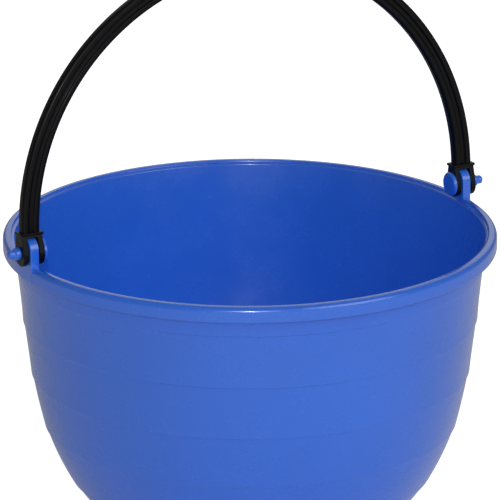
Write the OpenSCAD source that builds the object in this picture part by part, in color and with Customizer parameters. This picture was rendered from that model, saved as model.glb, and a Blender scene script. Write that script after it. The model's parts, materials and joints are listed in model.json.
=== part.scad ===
// Round stable bucket with a moulded swinging handle, held by two snap pins.
// The ground is z = 0, the handle's pivot line runs along X.

/* [Bucket] */
// Diameter over the rim
rim_d = 380; // [320:1:460]
// Height from the ground to the top of the rim
bucket_h = 235; // [200:1:290]
// Diameter of the foot ring
foot_d = 217; // [160:1:240]
// Height of the foot ring below the bottom
foot_h = 5; // [3:0.5:10]
// Width of the foot ring
foot_w = 6; // [4:0.5:10]
// Thickness of the side wall
wall = 2.8; // [2:0.1:4.5]
// Thickness of the bottom
floor_t = 3.5; // [3.5:0.1:7]
// Slope of the upper side
draft_angle = 6.2; // [2:0.05:10]
// How late the side turns in to the bottom
bend = 4.9; // [3:0.1:7]

/* [Level rings] */
// Depth of the first ring below the top of the rim
first_ring = 25.8; // [20:0.1:40]
// Height from one ring to the next
ring_pitch = 42.2; // [20:0.1:60]
// How far the side steps in at a ring
ring_step = 0.8; // [0.2:0.1:1.2]
// Height over which it steps in
ring_fall = 1.2; // [0.6:0.1:3]
// Least height between the lowest ring and the bottom
ring_room = 25; // [10:1:60]

/* [Rim] */
// How far the rim stands out beyond the top of the side
rim_out = 7.3; // [7:0.1:14]
// Height of the skirt that hangs from the rim
skirt_h = 12; // [7:0.5:20]
// Thickness of the rim and its skirt
rim_t = 3; // [2:0.1:4]
// Radius of the rim's outer edge
rim_round = 4; // [1:0.1:5]
// Width of the rim's flat top and outer edge together
crown_w = 6.2; // [5.5:0.1:8]
// Depth of the ledge inside the crown
ledge_drop = 2; // [1:0.1:3]
// How far the side flares out at the very top, under the rim
neck_flare = 2.7; // [0:0.1:4]
// Height of that flare
neck_h = 18; // [12:1:24]
// How far the inside opens out towards the ledge
mouth_flare = 1.5; // [1:0.1:2.6]
// Height over which it opens out
mouth_h = 40; // [30:1:60]

/* [Lugs] */
// Thickness of a lug
lug_t = 7; // [5:0.1:9]
// Width of a lug
lug_w = 18; // [15:0.5:22]
// Height of a lug's round top above the pin
lug_top = 11.3; // [11:0.1:14]
// How far a lug's outer face stands proud of the rim
lug_proud = 0.2; // [0.2:0.1:2]
// Gap between the cheeks' round ends and the rim below them
rim_gap = 0.4; // [0.3:0.1:8]

/* [Snap pins] */
// Diameter of the shank
shank_d = 6.8; // [4:0.1:8]
// Running clearance between shank and bore, on the radius
shank_gap = 0.06; // [0.02:0.01:0.1]
// Diameter of the head
head_d = 19; // [12:0.5:20]
// Thickness of the head
head_t = 3; // [2:0.1:5]
// Diameter of the barb at the cheek
barb_d = 9.4; // [8.8:0.1:11]
// Length of the barb with its nose
barb_l = 9.5; // [9:0.5:12]
// Length of the barb's thick part
barb_body = 3.6; // [2:0.1:4]
// Diameter of the nose
nose_d = 6.6; // [5:0.1:8]
// Width of the slit that lets the barb spring in
slit_w = 1.2; // [0.8:0.1:2]

/* [Handle] */
// Width of the grip, across the arch
grip_w = 15; // [12:0.1:18]
// Thickness of the grip, front to back
grip_t = 9; // [7.5:0.1:12]
// Corner radius of the grip
grip_round = 3; // [1:0.1:3.5]
// Width of the groove in the front and back
groove_w = 5; // [3:0.1:6]
// Depth of the groove
groove_d = 1.6; // [0.5:0.1:2.5]
// Height of the yoke over a lug, up to the middle of the collar
yoke_t = 3; // [2.5:0.1:20]
// Thickness of a collar
collar_t = 2; // [1.5:0.1:4]
// How far a collar stands out around the fork
collar_lip = 1.1; // [0.5:0.1:3]
// Corner radius of a collar
collar_round = 1.2; // [0.5:0.1:4]
// Thickness of a fork's cheek
cheek_t = 4.1; // [3:0.1:6]
// Gap between a cheek and the lug
cheek_gap = 0.95; // [0.3:0.05:1.5]
// Width of a cheek, and of its round end
cheek_w = 17.6; // [14:0.1:18.6]
// How far the round end's centre hangs below the pin
cheek_drop = 1.4; // [0:0.1:4]
// Width of the neck between cheeks and collar
neck_w = 10; // [8:0.1:14]
// How far the stored handle leans back from upright
handle_lean = 2.4; // [0:0.1:10]

/* [Hidden] */
$fn = 96;

rim_r = rim_d / 2;
side_h = bucket_h - foot_h;
side_r = rim_r - rim_out;
draft = tan(draft_angle);
sweep = side_r - draft * side_h - foot_d / 2;
side_steps = 46;
tier_steps = 8;
ledge_slope = 0.4;

// The pins sit just high enough for the cheeks to swing past the rim
pin_rise = cheek_drop + cheek_w / 2 + rim_gap;
pivot_r = rim_r + lug_proud - lug_t / 2;
pin_z = bucket_h + pin_rise;
shank_r = shank_d / 2;
bore_r = shank_r + shank_gap;

// The fork spans the lug, and its yoke passes just over the lug's round top
yoke_gap = 0.6;
fork_w = lug_t + 2 * cheek_gap + 2 * cheek_t;
leg_rise = lug_top + yoke_gap + yoke_t;
barb_gap = 0.2;
far = 1;

blue = [0.16, 0.33, 0.74];
black = [0.05, 0.05, 0.055];

// How much of the flare is left at depth t below the top of the rim
function neck(t) = max(0, 1 - t / neck_h);

// Radius of the plain side at depth t, without the rings and the flares
function plain(t) = side_r - draft * t - sweep * pow(t / side_h, bend);

// Radius of the outer side, with its flare under the rim
function side(t) = plain(t) + neck_flare * pow(neck(t), 2);

// Slope of the plain side at depth t, from upright
function lean(t) = atan(draft + sweep * bend / side_h * pow(t / side_h, bend - 1));

// Radius of the inside at depth t, one wall thickness in, and wider towards the ledge
function inside(t) = plain(t) - wall * cos(lean(t)) + mouth_flare * pow(max(0, 1 - t / mouth_h), 2);

// Depths of the rings, as many as the side has room for
rings = [for (t = [first_ring : ring_pitch : side_h - ring_room]) t];

// Between two rings the side springs out by one step, and at the next ring it falls back
function tier(top, end, out_top, out_end) = [for (k = [0:tier_steps])
    let (share = k / tier_steps, t = top + (end - top) * share)
    [side(t) + out_top + (out_end - out_top) * share, bucket_h - t]];

tier_tops = concat([rim_t], [for (t = rings) t + ring_fall / 2]);
tier_ends = concat([for (t = rings) t - ring_fall / 2], [side_h]);
last_tier = len(rings);

outer_side = [for (i = [0:last_tier])
    each tier(tier_tops[i], tier_ends[i], i == 0 ? 0 : -ring_step / 2, i == last_tier ? 0 : ring_step / 2)];

// The inner outline, from the bottom up to the ledge
floor_depth = side_h - floor_t + wall * sin(lean(side_h));
ledge_depth = ledge_drop + ledge_slope + wall * sin(lean(ledge_drop));
inner_side = [for (k = [0:side_steps])
    let (t = floor_depth + k * (ledge_depth - floor_depth) / side_steps)
    [inside(t), bucket_h - t + wall * sin(lean(t))]];

// From the ledge over the crown and the rounded edge to the channel behind the skirt
rim_edge = concat(
    [[rim_r - crown_w - ledge_slope, bucket_h - ledge_drop],
     [rim_r - crown_w, bucket_h]],
    [for (a = [90:-15:0]) [rim_r - rim_round + rim_round * cos(a), bucket_h - rim_round + rim_round * sin(a)]],
    [[rim_r, bucket_h - skirt_h],
     [rim_r - rim_t, bucket_h - skirt_h],
     [rim_r - rim_t, bucket_h - rim_t]]);

module shell_outline() {
    foot_r = foot_d / 2;
    polygon(concat(
        rim_edge,
        outer_side,
        [[foot_r, 0],
         [foot_r - foot_w, 0],
         [foot_r - foot_w, foot_h],
         [0, foot_h],
         [0, inner_side[0][1]]],
        inner_side));
}

module lug() {
    // Flat on the skirt, round over the pin
    top_z = pin_z + lug_top - lug_w / 2;
    translate([pivot_r - lug_t / 2, 0, 0]) {
        translate([0, 0, top_z])
            rotate([0, 90, 0])
                cylinder(d = lug_w, h = lug_t);
        translate([0, -lug_w / 2, bucket_h - rim_t])
            cube([lug_t, lug_w, top_z - bucket_h + rim_t]);
        translate([lug_t - lug_proud - rim_t, -lug_w / 2, bucket_h - skirt_h])
            cube([rim_t + lug_proud, lug_w, skirt_h]);
    }
}

module bucket() {
    color(blue)
        difference() {
            union() {
                rotate_extrude()
                    shell_outline();
                for (turn = [0, 180])
                    rotate([0, 0, turn])
                        lug();
            }
            for (side_sign = [-1, 1])
                translate([side_sign * pivot_r, 0, pin_z])
                    rotate([0, 90, 0])
                        cylinder(r = bore_r, h = lug_t + 2 * far, center = true);
        }
}

module grip_section() {
    difference() {
        union() {
            square([grip_w - 2 * grip_round, grip_t], center = true);
            square([grip_w, grip_t - 2 * grip_round], center = true);
            for (x = [-1, 1], y = [-1, 1])
                translate([x * (grip_w / 2 - grip_round), y * (grip_t / 2 - grip_round)])
                    circle(r = grip_round);
        }
        for (y = [-1, 1])
            translate([0, y * grip_t / 2])
                square([groove_w, 2 * groove_d], center = true);
    }
}

module collar_section() {
    w = fork_w + 2 * collar_lip;
    t = neck_w + 2 * collar_lip;
    square([w - 2 * collar_round, t], center = true);
    square([w, t - 2 * collar_round], center = true);
    for (x = [-1, 1], y = [-1, 1])
        translate([x * (w / 2 - collar_round), y * (t / 2 - collar_round)])
            circle(r = collar_round);
}

module fork() {
    // Cheeks with round ends, joined by a yoke under the collar
    yoke_z = lug_top + yoke_gap;
    difference() {
        rotate([0, 90, 0])
            linear_extrude(height = fork_w, center = true)
                translate([cheek_drop, 0])
                    union() {
                        circle(d = cheek_w);
                        polygon(fork_flank(neck_w / 2, leg_rise + cheek_drop));
                    }
        translate([-fork_w / 2 + cheek_t, -cheek_w, -2 * cheek_w])
            cube([fork_w - 2 * cheek_t, 2 * cheek_w, 2 * cheek_w + yoke_z]);
        rotate([0, 90, 0])
            cylinder(r = bore_r, h = fork_w + 2 * far, center = true);
    }
    translate([0, 0, leg_rise - collar_t / 2])
        linear_extrude(height = collar_t)
            collar_section();
}

// Straight flanks from the neck, tangent to the round end; x runs down from its centre
function fork_flank(half_neck, rise) =
    let (r = cheek_w / 2,
         reach = sqrt(rise * rise + half_neck * half_neck),
         touch = acos(r / reach) + atan(half_neck / rise))
    [[-rise, half_neck],
     [-rise, -half_neck],
     [-r * cos(touch), -r * sin(touch)],
     [-r * cos(touch), r * sin(touch)]];

module upright_handle() {
    translate([0, 0, leg_rise])
        rotate([90, 0, 0])
            rotate_extrude(angle = 180)
                translate([pivot_r, 0])
                    grip_section();
    for (side_sign = [-1, 1])
        translate([side_sign * pivot_r, 0, 0])
            fork();
}

// Sets a piece on the pivot line, leaning back as the handle does
module at_pivot() {
    translate([0, 0, pin_z])
        rotate([-handle_lean, 0, 0])
            children();
}

module bail_handle() {
    color(black)
        at_pivot()
            upright_handle();
}

module snap_pin(side_sign) {
    head_round = head_t * 0.6;
    cheek_end = fork_w / 2;
    barb_start = cheek_end + barb_gap;
    barb_end = barb_start + barb_l;
    nose_r = nose_d / 2;
    nose_round = nose_r * 0.55;
    outline = concat(
        [[0, -cheek_end - head_t],
         [head_d / 2 - head_round, -cheek_end - head_t]],
        [for (a = [15:15:90])
            [head_d / 2 - head_round + head_round * sin(a),
             -cheek_end - head_t + head_round - head_round * cos(a)]],
        [[head_d / 2, -cheek_end],
         [shank_r, -cheek_end],
         [shank_r, barb_start],
         [barb_d / 2, barb_start],
         [barb_d / 2, barb_start + barb_body],
         [nose_r, barb_start + barb_body + (barb_d / 2 - nose_r)]],
        [for (a = [0:15:90])
            [nose_r - nose_round * (1 - cos(a)), barb_end - nose_round * (1 - sin(a))]],
        [[0, barb_end]]);
    translate([side_sign * pivot_r, 0, 0])
        difference() {
            rotate([0, side_sign * 90, 0])
                rotate_extrude()
                    polygon(outline);
            translate([side_sign * (barb_end - barb_l / 2 - far), 0, 0])
                cube([barb_l + 4 * far, slit_w, barb_d + far], center = true);
        }
}

module left_snap_pin() {
    color(blue)
        at_pivot()
            snap_pin(-1);
}

module right_snap_pin() {
    color(blue)
        at_pivot()
            snap_pin(1);
}

bucket();
bail_handle();
left_snap_pin();
right_snap_pin();
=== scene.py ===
import json
import math

import bpy
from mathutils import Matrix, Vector


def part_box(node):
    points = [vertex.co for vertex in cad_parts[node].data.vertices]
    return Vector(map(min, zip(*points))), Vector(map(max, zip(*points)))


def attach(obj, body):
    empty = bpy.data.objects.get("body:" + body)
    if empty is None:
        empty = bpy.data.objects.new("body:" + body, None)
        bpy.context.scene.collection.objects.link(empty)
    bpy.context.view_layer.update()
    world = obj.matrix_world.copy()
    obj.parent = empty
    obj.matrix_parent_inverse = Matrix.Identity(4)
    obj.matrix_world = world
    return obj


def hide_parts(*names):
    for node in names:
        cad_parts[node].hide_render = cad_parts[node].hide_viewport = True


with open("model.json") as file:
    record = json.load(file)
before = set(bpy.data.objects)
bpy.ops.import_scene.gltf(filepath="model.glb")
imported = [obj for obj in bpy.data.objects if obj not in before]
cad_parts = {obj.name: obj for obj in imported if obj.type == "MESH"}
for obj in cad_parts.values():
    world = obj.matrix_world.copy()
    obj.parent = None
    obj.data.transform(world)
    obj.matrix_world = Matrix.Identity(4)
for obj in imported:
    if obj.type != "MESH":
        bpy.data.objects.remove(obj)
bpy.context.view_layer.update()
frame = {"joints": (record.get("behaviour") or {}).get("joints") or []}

# What the pieces are placed by
bucketLow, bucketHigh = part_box("bucket")
pivotZ = frame["joints"][0]["pos_m"][2]
rimRadius = bucketHigh.y
lugOuter = bucketHigh.x            # the lugs stand a touch proud of the rim
lugTop = bucketHigh.z
print("frame loaded, pivot line at", round(pivotZ, 4))


def clearSelection():
    if bpy.context.object and bpy.context.object.mode != "OBJECT":
        bpy.ops.object.mode_set(mode="OBJECT")
    bpy.ops.object.select_all(action="DESELECT")


def startPiece(name):
    piece = bpy.context.object
    piece.name = name
    piece.data.name = name
    bpy.ops.object.mode_set(mode="EDIT")
    return piece


def pick(test, kind="VERT"):
    # selects the points or the edges that pass the test, in edit mode
    bpy.ops.mesh.select_mode(type=kind)
    bpy.ops.mesh.select_all(action="DESELECT")
    bpy.ops.object.mode_set(mode="OBJECT")
    mesh = bpy.context.object.data
    if kind == "VERT":
        for point in mesh.vertices:
            point.select = test(point.co)
    else:
        for edge in mesh.edges:
            ends = [mesh.vertices[i].co for i in edge.vertices]
            edge.select = test(ends[0], ends[1])
    bpy.ops.object.mode_set(mode="EDIT")


def traceOutline(name, points):
    # one point is set down, then extruded from place to place
    clearSelection()
    bpy.ops.mesh.primitive_plane_add(size=0.001, location=(0, 0, 0))
    line = startPiece(name)
    bpy.ops.mesh.select_mode(type="VERT")
    bpy.ops.mesh.merge(type="CENTER")
    bpy.ops.transform.translate(value=points[0])
    for here, there in zip(points, points[1:]):
        step = [b - a for a, b in zip(here, there)]
        bpy.ops.mesh.extrude_vertices_move(TRANSFORM_OT_translate={"value": step})
    return line


def roundCorners(corners, radius, segments):
    places = [Vector(c) for c in corners]
    pick(lambda co: any((co - p).length < 2e-5 for p in places))
    bpy.ops.mesh.bevel(offset=radius, segments=segments, affect="VERTICES", clamp_overlap=True)


def lathe(steps, turn, center, axis):
    bpy.ops.mesh.select_all(action="SELECT")
    bpy.ops.mesh.spin(steps=steps, angle=turn, center=center, axis=axis)
    bpy.ops.mesh.select_all(action="SELECT")
    bpy.ops.mesh.remove_doubles(threshold=5e-6)
    bpy.ops.mesh.normals_make_consistent(inside=False)


def bevelSharp(angle, radius, segments):
    bpy.ops.mesh.select_mode(type="EDGE")
    bpy.ops.mesh.select_all(action="DESELECT")
    bpy.ops.mesh.edges_select_sharp(sharpness=math.radians(angle))
    bpy.ops.mesh.bevel(offset=radius, segments=segments, affect="EDGES", clamp_overlap=True)


def cutOrJoin(piece, tool, operation):
    # joins a tool on or cuts it away, then throws the tool away
    clearSelection()
    bpy.context.view_layer.objects.active = piece
    piece.select_set(True)
    joint = piece.modifiers.new(operation.lower(), "BOOLEAN")
    joint.operation = operation
    joint.object = tool
    joint.solver = "EXACT"
    bpy.ops.object.modifier_apply(modifier=joint.name)
    bpy.data.objects.remove(tool)


def addBar(name, center, size):
    clearSelection()
    bpy.ops.mesh.primitive_cube_add(size=1, location=center, scale=size)
    bpy.ops.object.transform_apply(location=True, rotation=True, scale=True)
    return startPiece(name)


def addDrill(name, center, radius, length):
    # a round cutter along X
    clearSelection()
    bpy.ops.mesh.primitive_cylinder_add(
        vertices=48, radius=radius, depth=length, location=center, rotation=(0, math.pi / 2, 0))
    drill = bpy.context.object
    drill.name = name
    return drill


def settle(piece, location, tilt):
    # puts the place into the mesh, so that the object itself stays at the origin
    clearSelection()
    bpy.context.view_layer.objects.active = piece
    piece.select_set(True)
    piece.location = location
    piece.rotation_euler = (tilt, 0, 0)
    bpy.ops.object.transform_apply(location=True, rotation=True, scale=True)


def smooth(piece, angle=32):
    clearSelection()
    bpy.context.view_layer.objects.active = piece
    piece.select_set(True)
    bpy.ops.object.shade_smooth_by_angle(angle=math.radians(angle))
    flatter = piece.modifiers.new("flatter", "WEIGHTED_NORMAL")
    flatter.keep_sharp = True      # and flats beside a rounded edge stay flat
    bpy.ops.object.modifier_apply(modifier=flatter.name)


bucketMould = {
    "rimTop": 0.235,
    "footRadius": 0.1085,
    "footHeight": 0.005,
    "footWidth": 0.006,
    "wall": 0.0028,
    "floor": 0.0035,
    "draft": math.tan(math.radians(6.2)),
    "bend": 4.9,
    "rimOut": 0.0073,
    "skirtHeight": 0.012,
    "rimThickness": 0.003,
    "rimRound": 0.004,
    "crownWidth": 0.0062,
    "ledgeDrop": 0.002,
    "ledgeSlope": 0.0004,
    "neckFlare": 0.0027,
    "neckHeight": 0.018,
    "mouthFlare": 0.0015,
    "mouthHeight": 0.04,
    "firstRing": 0.0258,
    "ringPitch": 0.0422,
    "ringCount": 5,
    "ringStep": 0.0008,
    "ringFall": 0.0012,
    "ringSwell": 4,
    "floorRound": 0.008,
    "footRound": 0.0011,
    "heelRound": 0.0012,
    "skirtRound": 0.0009,
    "channelRound": 0.0007,
    "crownRound": 0.0002,
    "dropRound": 0.0003,
    "ledgeRound": 0.0011,
    "gateRadius": 0.0035,
    "dimpleRadius": 0.0095,
    "dimpleDepth": 0.0008,
    "gateDepth": 0.0004,
    "gateRound": 0.0003,
    "innerSteps": 46,
    "tierSteps": 13,
    "turnSteps": 256,
}

b = bucketMould
rimTop = b["rimTop"]
sideHeight = rimTop - b["footHeight"]
sideRadius = rimRadius - b["rimOut"]
sweep = sideRadius - b["draft"] * sideHeight - b["footRadius"]


def plainAt(depth):
    # radius of the plain side at a depth below the top of the rim
    return sideRadius - b["draft"] * depth - sweep * (depth / sideHeight) ** b["bend"]


def sideAt(depth):
    # the outer side flares out under the rim
    return plainAt(depth) + b["neckFlare"] * max(0.0, 1 - depth / b["neckHeight"]) ** 2


def leanAt(depth):
    turnIn = sweep * b["bend"] / sideHeight * (depth / sideHeight) ** (b["bend"] - 1)
    return math.atan(b["draft"] + turnIn)


def insideAt(depth):
    # one wall thickness in, and wider towards the ledge
    opening = b["mouthFlare"] * max(0.0, 1 - depth / b["mouthHeight"]) ** 2
    return plainAt(depth) - b["wall"] * math.cos(leanAt(depth)) + opening


def outerSide():
    # from under the rim down to the foot; the side springs out a little
    # towards each ring, then falls back
    half = b["ringStep"] / 2
    rings = [b["firstRing"] + i * b["ringPitch"] for i in range(b["ringCount"])]
    starts = [b["rimThickness"]] + [t + b["ringFall"] / 2 for t in rings]
    ends = [t - b["ringFall"] / 2 for t in rings] + [sideHeight]
    points = []
    for i, (start, end) in enumerate(zip(starts, ends)):
        startOut = 0 if i == 0 else -half
        endOut = 0 if i == b["ringCount"] else half
        for k in range(b["tierSteps"] + 1):
            share = k / b["tierSteps"]
            depth = start + (end - start) * share
            swell = (endOut - startOut) * share ** b["ringSwell"]    # mostly close above the ring
            points.append((sideAt(depth) + startOut + swell, 0, rimTop - depth))
        if i < b["ringCount"]:
            for k in range(1, 5):    # a soft step at the ring
                depth = end + b["ringFall"] * k / 5
                points.append((sideAt(depth) + half * math.cos(math.pi * k / 5), 0, rimTop - depth))
    return points


def innerSide():
    # from the floor up to the ledge under the crown
    floorDepth = sideHeight - b["floor"] + b["wall"] * math.sin(leanAt(sideHeight))
    ledgeDepth = b["ledgeDrop"] + b["ledgeSlope"] + b["wall"] * math.sin(leanAt(b["ledgeDrop"]))
    steps = b["innerSteps"]
    points = []
    for k in range(steps + 1):
        if 0 < k < 3:      # leaves room to round the floor's edge
            continue
        depth = floorDepth + k * (ledgeDepth - floorDepth) / steps
        height = rimTop - depth + b["wall"] * math.sin(leanAt(depth))
        points.append((insideAt(depth), 0, height))
    return points


def makeGate():
    # the moulding gate under the floor, in a shallow dimple
    low = b["footHeight"] - b["gateDepth"]
    high = b["footHeight"] + b["dimpleDepth"]
    return [(b["gateRadius"], 0, low), (b["gateRadius"] + 0.0007, 0, high),
            (b["dimpleRadius"] - 0.001, 0, high), (b["dimpleRadius"], 0, b["footHeight"])]


def makeBucket():
    footIn = b["footRadius"] - b["footWidth"]
    skirtIn = rimRadius - b["rimThickness"]
    skirtLow = rimTop - b["skirtHeight"]
    crownIn = rimRadius - b["crownWidth"]
    side = outerSide()
    inner = innerSide()
    gate = makeGate()
    footCorners = [(footIn, 0, b["footHeight"]), (footIn, 0, 0), (b["footRadius"], 0, 0)]
    channel = (skirtIn, 0, rimTop - b["rimThickness"])
    skirtCorners = [(skirtIn, 0, skirtLow), (rimRadius, 0, skirtLow)]
    rimEdge = (rimRadius, 0, rimTop)
    crownEdge = (crownIn, 0, rimTop)
    drop = (crownIn - b["ledgeSlope"], 0, rimTop - b["ledgeDrop"])
    profile = (
        [(0, 0, gate[0][2])] + gate + footCorners
        + side[::-1]
        + [channel] + skirtCorners + [rimEdge, crownEdge, drop]
        + inner[::-1]
        + [(0, 0, inner[0][2])])
    shell = traceOutline("feedBucket", profile)
    for corners, radius, segments in (
            ([rimEdge], b["rimRound"] * 0.999, 10),
            ([inner[0]], b["floorRound"], 8),
            (footCorners, b["footRound"], 4),
            (skirtCorners, b["skirtRound"], 4),
            ([channel, side[0]], b["channelRound"], 3),
            ([crownEdge], b["crownRound"], 3),
            ([drop], b["dropRound"], 2),
            ([inner[-1]], b["ledgeRound"], 8),
            ([side[-1]], b["heelRound"], 4),
            (gate, b["gateRound"], 2)):
        roundCorners(corners, radius, segments)
    lathe(b["turnSteps"], 2 * math.pi, (0, 0, 0), (0, 0, 1))
    return shell


lugPlate = {
    "thickness": 0.007,
    "width": 0.018,
    "padThickness": 0.0032,
    "edgeRound": 0.0016,
    "sunk": 0.0025,
    "boreRadius": 0.00346,
}
pivotX = lugOuter - lugPlate["thickness"] / 2


def makeLug():
    g = lugPlate
    foot = rimTop - b["skirtHeight"]
    size = (g["thickness"], g["width"], lugTop - foot)
    plate = addBar("lug", (pivotX, 0, (foot + lugTop) / 2), size)
    pick(lambda a, c: min(a.z, c.z) > lugTop - 1e-5 and abs(a.y - c.y) < 1e-6, "EDGE")
    bpy.ops.mesh.bevel(
        offset=g["width"] / 2 * 0.999, segments=24, affect="EDGES", clamp_overlap=True)
    bevelSharp(50, g["edgeRound"], 5)
    # only the outer face of the plate runs on down the skirt
    cutter = 0.02
    corner = (lugOuter - g["padThickness"] - cutter / 2, 0, rimTop - g["sunk"] - cutter / 2)
    under = addBar("under", corner, (cutter, 2 * cutter, cutter))
    cutOrJoin(plate, under, "DIFFERENCE")
    return plate


def copyTurned(piece, name):
    # the same shape on the other side, with a mesh of its own
    other = piece.copy()
    other.data = piece.data.copy()
    other.name = name
    bpy.context.collection.objects.link(other)
    clearSelection()
    bpy.context.view_layer.objects.active = other
    other.select_set(True)
    other.rotation_euler = (0, 0, math.pi)
    bpy.ops.object.transform_apply(location=True, rotation=True, scale=True)
    return other


bucket = makeBucket()
rightLug = makeLug()
leftLug = copyTurned(rightLug, "leftLug")
cutOrJoin(bucket, rightLug, "UNION")
cutOrJoin(bucket, leftLug, "UNION")
lugDrill = 0.02
forkDrill = 0.04
for place in (-pivotX, pivotX):
    drill = addDrill("drill", (place, 0, pivotZ), lugPlate["boreRadius"], lugDrill)
    cutOrJoin(bucket, drill, "DIFFERENCE")
smooth(bucket)
print("bucket done,", len(bucket.data.polygons), "faces")


bailArch = {
    "gripWidth": 0.0149,
    "gripThickness": 0.009,
    "gripRound": 0.003,
    "grooveWidth": 0.005,
    "grooveFloor": 0.0028,
    "grooveDepth": 0.0016,
    "collarZ": 0.0149,         # the collars' middle, and the arch's centre, above the pins
    "collarThickness": 0.002,
    "collarLip": 0.0011,
    "collarRound": 0.0012,
    "forkWidth": 0.0171,
    "slotWidth": 0.0089,
    "slotTop": 0.0119,
    "cheekWidth": 0.0176,
    "cheekDrop": 0.0014,
    "neckWidth": 0.010,
    "lipRound": 0.0006,
    "floorRound": 0.0005,
    "slotRound": 0.0008,
    "edgeRound": 0.0006,
    "lean": math.radians(2.4),
    "archSteps": 144,
}
h = bailArch


def gripOutline():
    # the grip's section where it meets the right collar, with a groove front and back
    x, y = h["gripWidth"] / 2, h["gripThickness"] / 2
    wide, narrow, deep = h["grooveWidth"] / 2, h["grooveFloor"] / 2, y - h["grooveDepth"]
    front = [(-x, -y), (-wide, -y), (-narrow, -deep), (narrow, -deep), (wide, -y), (x, -y)]
    return front + [(-a, -c) for a, c in front]


def makeArch():
    section = gripOutline()
    arch = traceOutline("bailHandle", [(pivotX + x, y, h["collarZ"]) for x, y in section])
    bpy.ops.mesh.select_all(action="SELECT")
    bpy.ops.mesh.edge_face_add()
    bpy.ops.mesh.delete(type="ONLY_FACE")
    corners = [section[i] for i in (0, 5, 6, 11)]
    lips = [section[i] for i in (1, 4, 7, 10)]
    floors = [section[i] for i in (2, 3, 8, 9)]
    for group, radius, segments in (
            (corners, h["gripRound"], 7), (lips, h["lipRound"], 3), (floors, h["floorRound"], 3)):
        roundCorners([(pivotX + x, y, h["collarZ"]) for x, y in group], radius, segments)
    lathe(h["archSteps"], math.pi, (0, 0, h["collarZ"]), (0, 1, 0))
    for side in (-1, 1):      # closed ends, hidden in the collars
        pick(lambda co: abs(co.z - h["collarZ"]) < 1e-5 and co.x * side > 0)
        bpy.ops.mesh.edge_face_add()
    bpy.ops.mesh.select_all(action="SELECT")
    bpy.ops.mesh.normals_make_consistent(inside=False)
    return arch


def makeFork():
    # seen along the pivot line: a round end, with flanks that run up to the neck
    r = h["cheekWidth"] / 2
    rise = h["collarZ"] + h["cheekDrop"]
    halfNeck = h["neckWidth"] / 2
    touch = math.acos(r / math.hypot(rise, halfNeck)) + math.atan(halfNeck / rise)
    x = pivotX - h["forkWidth"] / 2
    arcSteps = 28
    outline = [(x, -halfNeck, h["collarZ"])]
    for k in range(arcSteps + 1):
        a = touch + (2 * math.pi - 2 * touch) * k / arcSteps
        outline.append((x, -r * math.sin(a), -h["cheekDrop"] + r * math.cos(a)))
    outline.append((x, halfNeck, h["collarZ"]))
    fork = traceOutline("fork", outline)
    bpy.ops.mesh.select_all(action="SELECT")
    bpy.ops.mesh.edge_face_add()
    bpy.ops.mesh.extrude_region_move(TRANSFORM_OT_translate={"value": (h["forkWidth"], 0, 0)})
    bpy.ops.mesh.select_all(action="SELECT")
    bpy.ops.mesh.normals_make_consistent(inside=False)
    cutter = 0.04
    place = (pivotX, 0, h["slotTop"] - cutter / 2)
    slot = addBar("slot", place, (h["slotWidth"], cutter, cutter))
    pick(lambda a, c: min(a.z, c.z) > h["slotTop"] - 1e-5 and abs(a.y - c.y) > 1e-3, "EDGE")
    bpy.ops.mesh.bevel(offset=h["slotRound"], segments=3, affect="EDGES", clamp_overlap=True)
    cutOrJoin(fork, slot, "DIFFERENCE")
    drill = addDrill("drill", (pivotX, 0, 0), lugPlate["boreRadius"], forkDrill)
    cutOrJoin(fork, drill, "DIFFERENCE")
    clearSelection()
    bpy.context.view_layer.objects.active = fork
    fork.select_set(True)
    soften = fork.modifiers.new("soften", "BEVEL")
    soften.width = h["edgeRound"]
    soften.segments = 3
    soften.limit_method = "ANGLE"
    soften.angle_limit = math.radians(50)
    bpy.ops.object.modifier_apply(modifier=soften.name)
    return fork


def makeCollar():
    lip = h["collarLip"]
    size = (h["forkWidth"] + 2 * lip, h["neckWidth"] + 2 * lip, h["collarThickness"])
    collar = addBar("collar", (pivotX, 0, h["collarZ"]), size)
    pick(lambda a, c: abs(a.z - c.z) > 1e-4, "EDGE")
    bpy.ops.mesh.bevel(offset=h["collarRound"], segments=5, affect="EDGES", clamp_overlap=True)
    bevelSharp(60, h["edgeRound"], 3)
    return collar


handle = makeArch()
for makeEnd in (makeCollar, makeFork):
    rightEnd = makeEnd()
    clearSelection()      # out of edit mode, so that the copy has the rounded edges too
    leftEnd = copyTurned(rightEnd, "leftEnd")
    cutOrJoin(handle, rightEnd, "UNION")
    cutOrJoin(handle, leftEnd, "UNION")
settle(handle, (0, 0, pivotZ), -h["lean"])
smooth(handle, 38)
print("handle done,", len(handle.data.polygons), "faces")


snapPin = {
    "shankRadius": 0.0034,
    "headRadius": 0.0095,
    "headThickness": 0.003,
    "headRound": 0.0018,
    "barbRadius": 0.0047,
    "barbLength": 0.0095,
    "barbBody": 0.0036,
    "noseRadius": 0.0033,
    "barbGap": 0.0002,
    "slitWidth": 0.0012,
    "slitHeight": 0.012,
    "slitPast": 0.002,
    "headEdge": 0.0003,
    "barbEdge": 0.0004,
    "barbRound": 0.0006,
    "noseShare": 0.55,
}


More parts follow.
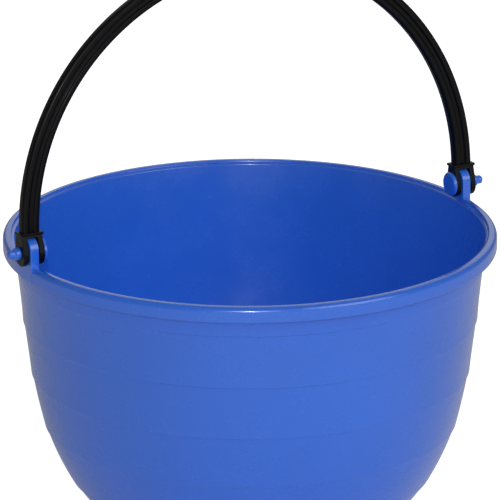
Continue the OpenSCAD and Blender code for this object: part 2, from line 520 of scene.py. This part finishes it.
def makePin():
    p = snapPin
    cheekEnd = h["forkWidth"] / 2
    headFace = -cheekEnd - p["headThickness"]
    barbStart = cheekEnd + p["barbGap"]
    barbEnd = barbStart + p["barbLength"]
    shoulder = barbStart + p["barbBody"]
    nose = p["noseRadius"]
    outline = [(headFace, 0), (headFace, p["headRadius"]),
               (-cheekEnd, p["headRadius"]), (-cheekEnd, p["shankRadius"]),
               (barbStart, p["shankRadius"]), (barbStart, p["barbRadius"]),
               (shoulder, p["barbRadius"]),
               (shoulder + p["barbRadius"] - nose, nose), (barbEnd, nose), (barbEnd, 0)]
    places = [(pivotX + x, 0, r) for x, r in outline]
    pin = traceOutline("rightSnapPin", places)
    roundCorners([places[1]], p["headRound"], 6)
    roundCorners([places[2]], p["headEdge"], 2)
    roundCorners([places[5]], p["barbEdge"], 3)
    roundCorners([places[6], places[7]], p["barbRound"], 4)
    roundCorners([places[8]], nose * p["noseShare"], 6)
    lathe(48, 2 * math.pi, (0, 0, 0), (1, 0, 0))
    center = (pivotX + barbStart + p["barbLength"] / 2 + p["slitPast"] / 2, 0, 0)
    size = (p["barbLength"] + p["slitPast"], p["slitWidth"], p["slitHeight"])
    slit = addBar("slit", center, size)
    cutOrJoin(pin, slit, "DIFFERENCE")
    return pin


rightPin = makePin()
leftPin = copyTurned(rightPin, "leftSnapPin")
for pin in (rightPin, leftPin):
    settle(pin, (0, 0, pivotZ), -h["lean"])
    smooth(pin, 35)
print("pins done,", len(rightPin.data.polygons), "faces each")


def addNode(tree, kind, place, values=None, **settings):
    made = tree.nodes.new(kind)
    made.location = place
    for key, value in settings.items():
        setattr(made, key, value)
    for key, value in (values or {}).items():
        made.inputs[key].default_value = value
    return made


def mouldedSkinGroup():
    # tone, fine scratches in patches and a faint grain, shared by both plastics
    group = bpy.data.node_groups.new("mouldedSkin", "ShaderNodeTree")
    sockets = group.interface
    for name, kind in (("Colour", "NodeSocketColor"), ("Scuff Colour", "NodeSocketColor"),
                       ("Scuffs", "NodeSocketFloat"), ("Mottle", "NodeSocketFloat"),
                       ("Roughness", "NodeSocketFloat")):
        sockets.new_socket(name=name, in_out="INPUT", socket_type=kind)
    for name, kind in (("Colour", "NodeSocketColor"), ("Roughness", "NodeSocketFloat"),
                       ("Height", "NodeSocketFloat")):
        sockets.new_socket(name=name, in_out="OUTPUT", socket_type=kind)
    link = group.links.new
    given = addNode(group, "NodeGroupInput", (-1400, 0))
    out = addNode(group, "NodeGroupOutput", (900, 0))
    coords = addNode(group, "ShaderNodeTexCoord", (-1400, -300))

    tone = addNode(group, "ShaderNodeTexNoise", (-1000, 300),
                   {"Scale": 11, "Detail": 4, "Roughness": 0.6})
    link(coords.outputs["Object"], tone.inputs["Vector"])
    swing = addNode(group, "ShaderNodeMapRange", (-780, 300),
                    {"From Min": 0.3, "From Max": 0.7, "To Min": -1, "To Max": 1})
    link(tone.outputs["Fac"], swing.inputs["Value"])
    strength = addNode(group, "ShaderNodeMath", (-560, 300), operation="MULTIPLY_ADD")
    link(swing.outputs["Result"], strength.inputs[0])
    link(given.outputs["Mottle"], strength.inputs[1])
    strength.inputs[2].default_value = 1
    toned = addNode(group, "ShaderNodeHueSaturation", (-340, 200))
    link(strength.outputs[0], toned.inputs["Value"])
    link(given.outputs["Colour"], toned.inputs["Color"])

    scratches = []
    for turn, stretch, level in (((0.1, 0.2, 0), (8, 8, 520), 0.64),
                                 ((0.05, 0, 0.4), (340, 340, 7), 0.65),
                                 ((0.7, 0.5, 0.2), (12, 300, 300), 0.66)):
        row = -300 - 260 * len(scratches)
        place = addNode(group, "ShaderNodeMapping", (-1200, row))
        place.inputs["Rotation"].default_value = turn
        place.inputs["Scale"].default_value = stretch
        link(coords.outputs["Object"], place.inputs["Vector"])
        lines = addNode(group, "ShaderNodeTexNoise", (-1000, row), {"Scale": 1, "Detail": 2})
        link(place.outputs["Vector"], lines.inputs["Vector"])
        cut = addNode(group, "ShaderNodeMapRange", (-780, row),
                      {"From Min": level, "From Max": level + 0.05})
        link(lines.outputs["Fac"], cut.inputs["Value"])
        scratches.append(cut.outputs["Result"])
    both = addNode(group, "ShaderNodeMath", (-560, -350), operation="MAXIMUM")
    link(scratches[0], both.inputs[0])
    link(scratches[1], both.inputs[1])
    allLines = addNode(group, "ShaderNodeMath", (-400, -400), operation="MAXIMUM")
    link(both.outputs[0], allLines.inputs[0])
    link(scratches[2], allLines.inputs[1])
    patches = addNode(group, "ShaderNodeTexNoise", (-780, -900), {"Scale": 16, "Detail": 2})
    link(coords.outputs["Object"], patches.inputs["Vector"])
    patchy = addNode(group, "ShaderNodeMapRange", (-560, -900),
                     {"From Min": 0.45, "From Max": 0.62})
    link(patches.outputs["Fac"], patchy.inputs["Value"])
    inPatches = addNode(group, "ShaderNodeMath", (-240, -500), operation="MULTIPLY")
    link(allLines.outputs[0], inPatches.inputs[0])
    link(patchy.outputs["Result"], inPatches.inputs[1])
    scuffs = addNode(group, "ShaderNodeMath", (-60, -400), operation="MULTIPLY", use_clamp=True)
    link(inPatches.outputs[0], scuffs.inputs[0])
    link(given.outputs["Scuffs"], scuffs.inputs[1])

    scuffed = addNode(group, "ShaderNodeMix", (200, 200), data_type="RGBA")
    link(scuffs.outputs[0], scuffed.inputs["Factor"])
    link(toned.outputs["Color"], scuffed.inputs["A"])
    link(given.outputs["Scuff Colour"], scuffed.inputs["B"])
    link(scuffed.outputs["Result"], out.inputs["Colour"])

    sheen = addNode(group, "ShaderNodeTexNoise", (-340, -700),
                    {"Scale": 45, "Detail": 5, "Roughness": 0.65})
    link(coords.outputs["Object"], sheen.inputs["Vector"])
    varied = addNode(group, "ShaderNodeMapRange", (-60, -700),
                     {"From Min": 0.3, "From Max": 0.7, "To Min": -0.05, "To Max": 0.07})
    link(sheen.outputs["Fac"], varied.inputs["Value"])
    base = addNode(group, "ShaderNodeMath", (200, -300), operation="ADD")
    link(given.outputs["Roughness"], base.inputs[0])
    link(varied.outputs["Result"], base.inputs[1])
    rougher = addNode(group, "ShaderNodeMath", (400, -300),
                      operation="MULTIPLY_ADD", use_clamp=True)
    link(scuffs.outputs[0], rougher.inputs[0])
    rougher.inputs[1].default_value = 0.25
    link(base.outputs[0], rougher.inputs[2])
    link(rougher.outputs[0], out.inputs["Roughness"])

    grain = addNode(group, "ShaderNodeTexNoise", (-340, -1000), {"Scale": 900, "Detail": 3})
    link(coords.outputs["Object"], grain.inputs["Vector"])
    ripple = addNode(group, "ShaderNodeTexNoise", (-340, -1200), {"Scale": 38, "Detail": 2})
    link(coords.outputs["Object"], ripple.inputs["Vector"])
    fine = addNode(group, "ShaderNodeMath", (0, -1000), operation="MULTIPLY")
    fine.inputs[1].default_value = 0.05
    link(grain.outputs["Fac"], fine.inputs[0])
    surface = addNode(group, "ShaderNodeMath", (200, -1000), operation="ADD")
    link(fine.outputs[0], surface.inputs[0])
    link(ripple.outputs["Fac"], surface.inputs[1])
    dug = addNode(group, "ShaderNodeMath", (400, -900), operation="MULTIPLY_ADD")
    link(scuffs.outputs[0], dug.inputs[0])
    dug.inputs[1].default_value = -0.02
    link(surface.outputs[0], dug.inputs[2])
    link(dug.outputs[0], out.inputs["Height"])
    return group


mouldedSkin = mouldedSkinGroup()


def plastic(name, look, wornFoot=False):
    material = bpy.data.materials.new(name)
    material.use_nodes = True
    tree = material.node_tree
    link = tree.links.new
    shader = tree.nodes["Principled BSDF"]
    shader.inputs["Specular IOR Level"].default_value = look["shine"]
    shader.inputs["Coat Weight"].default_value = look["coat"]
    shader.inputs["Coat Roughness"].default_value = 0.12
    skin = addNode(tree, "ShaderNodeGroup", (-700, 0), node_tree=mouldedSkin)
    skin.inputs["Colour"].default_value = look["colour"]
    skin.inputs["Scuff Colour"].default_value = look["scuffColour"]
    skin.inputs["Scuffs"].default_value = look["scuffs"]
    skin.inputs["Mottle"].default_value = look["mottle"]
    skin.inputs["Roughness"].default_value = look["roughness"]
    colour = skin.outputs["Colour"]
    if wornFoot:    # the foot ring rubs pale where it stands
        coords = addNode(tree, "ShaderNodeTexCoord", (-1300, 500))
        height = addNode(tree, "ShaderNodeSeparateXYZ", (-1100, 500))
        link(coords.outputs["Object"], height.inputs[0])
        low = addNode(tree, "ShaderNodeMapRange", (-900, 500),
                      {"From Min": 0.0002, "From Max": 0.003, "To Min": 1, "To Max": 0})
        link(height.outputs["Z"], low.inputs["Value"])
        spots = addNode(tree, "ShaderNodeTexNoise", (-1100, 300), {"Scale": 120, "Detail": 4})
        link(coords.outputs["Object"], spots.inputs["Vector"])
        rubbed = addNode(tree, "ShaderNodeMath", (-700, 400),
                         operation="MULTIPLY", use_clamp=True)
        link(low.outputs["Result"], rubbed.inputs[0])
        link(spots.outputs["Fac"], rubbed.inputs[1])
        pale = addNode(tree, "ShaderNodeMix", (-400, 200), data_type="RGBA")
        link(rubbed.outputs[0], pale.inputs["Factor"])
        link(skin.outputs["Colour"], pale.inputs["A"])
        pale.inputs["B"].default_value = look["scuffColour"]
        colour = pale.outputs["Result"]
    link(colour, shader.inputs["Base Color"])
    link(skin.outputs["Roughness"], shader.inputs["Roughness"])
    bump = addNode(tree, "ShaderNodeBump", (-300, -300),
                   {"Strength": 0.35, "Distance": look["bump"]})
    link(skin.outputs["Height"], bump.inputs["Height"])
    link(bump.outputs["Normal"], shader.inputs["Normal"])
    return material


bluePlastic = {
    "colour": (0.026, 0.172, 0.86, 1),
    "scuffColour": (0.14, 0.3, 0.85, 1),
    "scuffs": 0.03,
    "mottle": 0.035,
    "roughness": 0.25,
    "shine": 0.75,
    "coat": 0.55,
    "bump": 0.0002,
}
blackPlastic = {
    "colour": (0.0038, 0.0038, 0.0042, 1),
    "scuffColour": (0.015, 0.015, 0.016, 1),
    "scuffs": 0.3,
    "mottle": 0.12,
    "roughness": 0.36,
    "shine": 0.15,
    "coat": 0.03,
    "bump": 0.0002,
}

bucket.data.materials.clear()
handle.data.materials.clear()
bucket.data.materials.append(plastic("bucketPlastic", bluePlastic, wornFoot=True))
handle.data.materials.append(plastic("handlePlastic", blackPlastic))
pinLook = plastic("pinPlastic", bluePlastic)
for pin in (rightPin, leftPin):
    pin.data.materials.clear()
    pin.data.materials.append(pinLook)
print("finishes done")


for piece, body, nodeName, slotName in (
        (bucket, "bucket", "bucket", "bucket_plastic"),
        (handle, "handle", "bail_handle", "handle_plastic"),
        (leftPin, "handle", "left_snap_pin", "pin_plastic"),
        (rightPin, "handle", "right_snap_pin", "pin_plastic")):
    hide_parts(nodeName)
    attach(piece, body)


studio = {
    "distance": 4.0,
    "azimuth": math.radians(-27.5),
    "elevation": math.radians(17.78),
    "lens": 374.7,
    "aimDrop": 0.0166,         # how far below the rim the camera aims
    "roll": math.radians(-0.2),
    "sky": 0.17,
    "floorWhite": 0.85,         # how much whiter the floor looks than the light it gives
    "floorGlow": 0.04,
    "floorRadius": 14,
}
lights = {     # name: azimuth, elevation, distance, size, watts
    "keyLight": (math.radians(22), math.radians(29), 3.6, 2.6, 32.0),
    "flash": (studio["azimuth"], math.radians(21), 3.9, 0.03, 40.0),
    "backdropGlow": (studio["azimuth"] + math.pi, math.radians(33), 4.5, 5.0, 30.0),
}


def onSphere(azimuth, elevation, distance, center):
    return Vector(center) + distance * Vector((
        math.sin(azimuth) * math.cos(elevation), -math.cos(azimuth) * math.cos(elevation),
        math.sin(elevation)))


def addLight(name, azimuth, elevation, distance, size, watts, target):
    clearSelection()
    place = onSphere(azimuth, elevation, distance, target)
    bpy.ops.object.light_add(type="AREA", location=place)
    light = bpy.context.object
    light.name = name
    light.data.shape = "DISK"
    light.data.size = size
    light.data.energy = watts
    light.rotation_euler = (Vector(target) - place).to_track_quat("-Z", "Y").to_euler()
    return light


rimCenter = (0, 0, rimTop)
clearSelection()
bpy.ops.mesh.primitive_circle_add(
    vertices=96, radius=studio["floorRadius"], fill_type="NGON", location=(0, 0, 0))
floor = bpy.context.object
floor.name = "studioFloor"
floorLook = bpy.data.materials.new("studioFloor")
floorLook.use_nodes = True
floorShader = floorLook.node_tree.nodes["Principled BSDF"]
floorShader.inputs["Base Color"].default_value = (0.9, 0.9, 0.9, 1)
floorShader.inputs["Roughness"].default_value = 0.8
floorShader.inputs["Emission Color"].default_value = (1, 1, 1, 1)
seen = addNode(floorLook.node_tree, "ShaderNodeLightPath", (-600, -300))
glow = addNode(floorLook.node_tree, "ShaderNodeMath", (-300, -300), operation="MULTIPLY_ADD")
glow.inputs[1].default_value = studio["floorWhite"]
glow.inputs[2].default_value = studio["floorGlow"]
floorLook.node_tree.links.new(seen.outputs["Is Camera Ray"], glow.inputs[0])
floorLook.node_tree.links.new(glow.outputs[0], floorShader.inputs["Emission Strength"])
floor.data.materials.append(floorLook)

world = bpy.data.worlds.new("studioSky")
bpy.context.scene.world = world
world.use_nodes = True
world.node_tree.nodes["Background"].inputs["Color"].default_value = (1, 1, 1, 1)
world.node_tree.nodes["Background"].inputs["Strength"].default_value = studio["sky"]

for lightName, (azimuth, elevation, distance, size, watts) in lights.items():
    addLight(lightName, azimuth, elevation, distance, size, watts, rimCenter)

cameraPlace = onSphere(studio["azimuth"], studio["elevation"], studio["distance"], rimCenter)
aim = Vector(rimCenter) - Vector((0, 0, studio["aimDrop"]))
clearSelection()
bpy.ops.object.camera_add(location=cameraPlace)
camera = bpy.context.object
camera.name = "studioCamera"
camera.data.lens = studio["lens"]
camera.data.sensor_width = 36
camera.data.clip_end = 60
camera.rotation_euler = (aim - cameraPlace).to_track_quat("-Z", "Y").to_euler()
camera.rotation_euler.rotate_axis("Z", studio["roll"])
bpy.context.scene.camera = camera
bpy.context.scene.view_settings.view_transform = "Standard"
print("studio done")

clearSelection()
